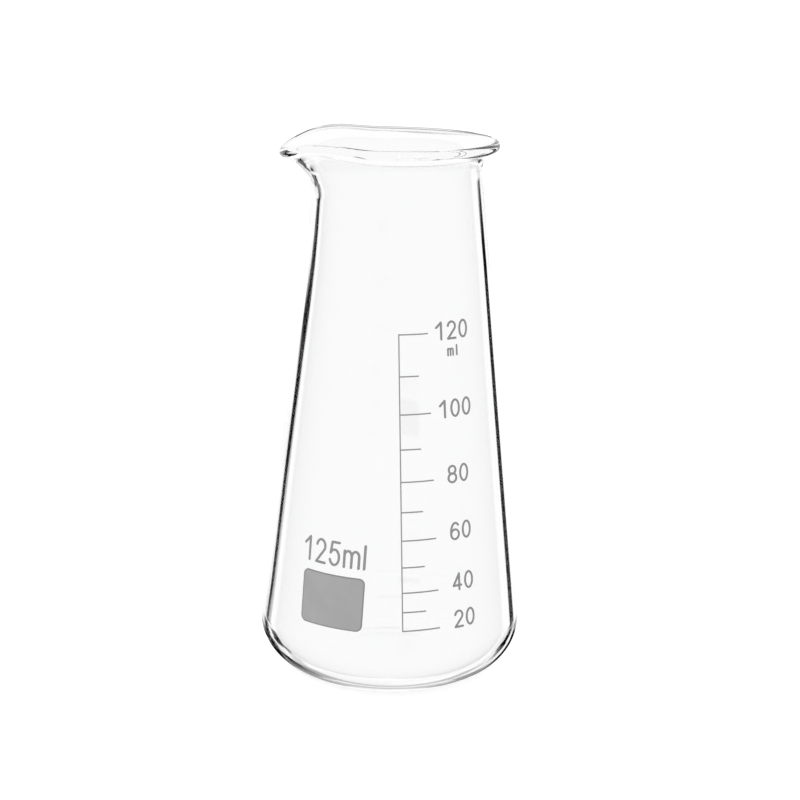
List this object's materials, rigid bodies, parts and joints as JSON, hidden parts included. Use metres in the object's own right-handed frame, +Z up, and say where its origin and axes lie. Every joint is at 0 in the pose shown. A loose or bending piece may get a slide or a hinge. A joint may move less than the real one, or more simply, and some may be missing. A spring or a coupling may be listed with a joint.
{
  "type": "laboratory beaker",
  "caption": "Tall conical laboratory beaker of clear glass with a rounded foot, a beaded rim, a pouring spout and a printed volume scale.",
  "frame": {"origin": "middle of the base, in the plane of the bench that the beaker stands on", "axes": "+Z up along the axis of the beaker, -Y the front with the printed scale and marks, +X to the right of the front, so that the pouring spout points to -X"},
  "size_m": [0.0568, 0.0568, 0.1153],
  "materials": {
    "glass": "clear, fire-polished borosilicate glass",
    "enamel": "matte grey fired enamel"
  },
  "bodies": {
    "root": {"glass_body": "glass", "marking_spot": "enamel", "capacity_mark": "enamel", "graduation_scale": "enamel", "numeral_120": "enamel", "unit_mark": "enamel", "numeral_100": "enamel", "numeral_80": "enamel", "numeral_60": "enamel", "numeral_40": "enamel", "numeral_20": "enamel"}
  },
  "joints": []
}
